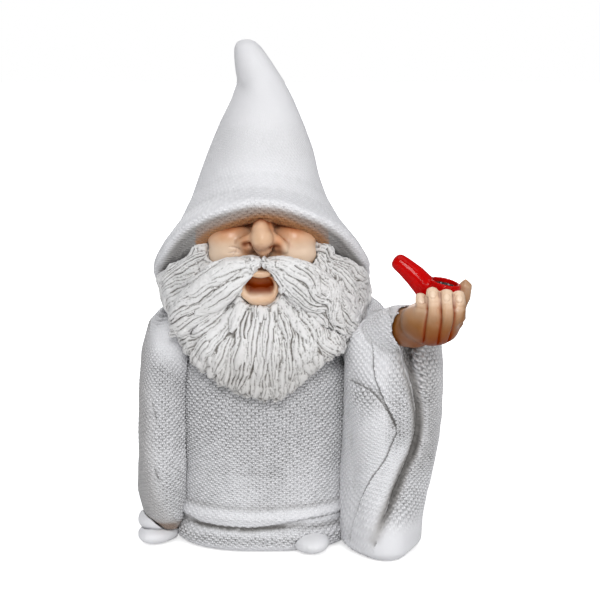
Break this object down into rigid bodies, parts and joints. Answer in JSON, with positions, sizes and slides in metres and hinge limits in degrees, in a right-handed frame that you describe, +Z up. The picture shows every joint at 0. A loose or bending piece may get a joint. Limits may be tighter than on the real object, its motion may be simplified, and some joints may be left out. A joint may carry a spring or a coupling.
{
  "type": "garden gnome",
  "caption": "Cast resin garden gnome in a long woven robe and pointed hat, with a full beard and moustache, holding a short red pipe in its raised hand.",
  "frame": {"origin": "middle of the base plate's underside, on the surface that the figure stands on", "axes": "+Z up; the figure faces -Y; its left, with the raised hand and pipe, is +X"},
  "size_m": [0.1832, 0.1368, 0.28],
  "materials": {
    "white_cloth": "off-white painted resin, cast with a woven-cloth surface",
    "white_hair": "off-white painted resin, carved locks with a grey-brown wash in the grooves",
    "skin": "varnished skin-coloured paint, darker orange-brown in the recesses",
    "pipe_red": "high-gloss red paint",
    "tobacco": "dark gritty filling",
    "smooth_white": "smooth white paint",
    "base_resin": "raw unpainted resin",
    "dowel_steel": "plain drawn wire and rod"
  },
  "bodies": {
    "root": {"robe_body": "white_cloth", "hat": "white_cloth", "right_sleeve": "white_cloth", "left_sleeve": "white_cloth", "beard": "white_hair", "moustache_right": "white_hair", "moustache_left": "white_hair", "back_hair": "white_hair", "head": "skin", "left_hand": "skin", "pipe": "pipe_red", "pipe_filling": "tobacco", "right_hand": "smooth_white", "right_shoe": "smooth_white", "left_shoe": "smooth_white", "base_plate": "base_resin", "neck_dowel": "dowel_steel", "right_arm_dowel": "dowel_steel", "left_arm_dowel": "dowel_steel", "wrist_pin": "dowel_steel", "pipe_pin": "dowel_steel"}
  },
  "joints": []
}
